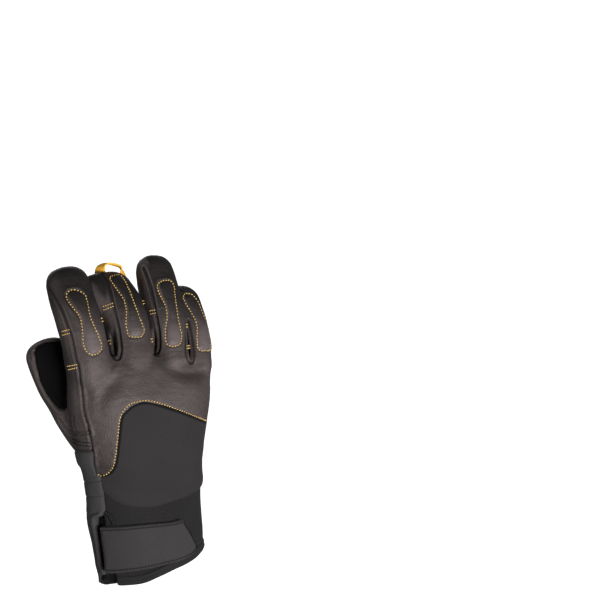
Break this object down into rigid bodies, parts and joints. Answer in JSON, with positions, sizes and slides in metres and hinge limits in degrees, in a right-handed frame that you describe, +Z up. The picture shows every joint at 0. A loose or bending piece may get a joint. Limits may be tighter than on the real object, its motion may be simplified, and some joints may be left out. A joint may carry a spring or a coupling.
{
  "type": "mountaineering glove",
  "caption": "Padded leather mountaineering glove for the right hand, with softshell wrist panel, knit cuff, wrap strap and fingertip hang loop.",
  "frame": {"origin": "top of the inside of the yellow hang loop on the middle fingertip, where the glove hangs", "axes": "+Z up along the glove towards the fingertips, -Y the way the back of the hand faces, -X towards the thumb"},
  "size_m": [0.1446, 0.077, 0.2644],
  "materials": {
    "leather": "semi-gloss grained goat leather, brown black",
    "palm_hide": "satin leather, black",
    "wipe_cloth": "matt brushed cloth, black",
    "softshell": "matt softshell cloth, dark grey",
    "stretch_knit": "matt ribbed stretch knit, charcoal",
    "strap_cloth": "matt laminated cloth with stitched edges, dark grey",
    "binding": "matt woven tape, black",
    "yellow_tape": "woven tape, golden yellow",
    "black_tape": "woven tape, black"
  },
  "bodies": {
    "root": {"back_leather": "leather", "palm_leather": "palm_hide", "side_strip_index": "leather", "side_strip_little": "leather", "fourchette_index_middle": "leather", "fourchette_middle_ring": "leather", "fourchette_ring_little": "leather", "knuckle_pad_index": "leather", "knuckle_pad_middle": "leather", "knuckle_pad_ring": "leather", "knuckle_pad_little": "leather", "thumb_leather": "leather", "thumb_wipe_panel": "wipe_cloth", "wrist_panel": "softshell", "side_gusset": "softshell", "stretch_cuff": "stretch_knit", "closure_strap": "strap_cloth", "hem_binding": "binding", "hang_loop": "yellow_tape", "pull_loop": "black_tape"}
  },
  "joints": []
}
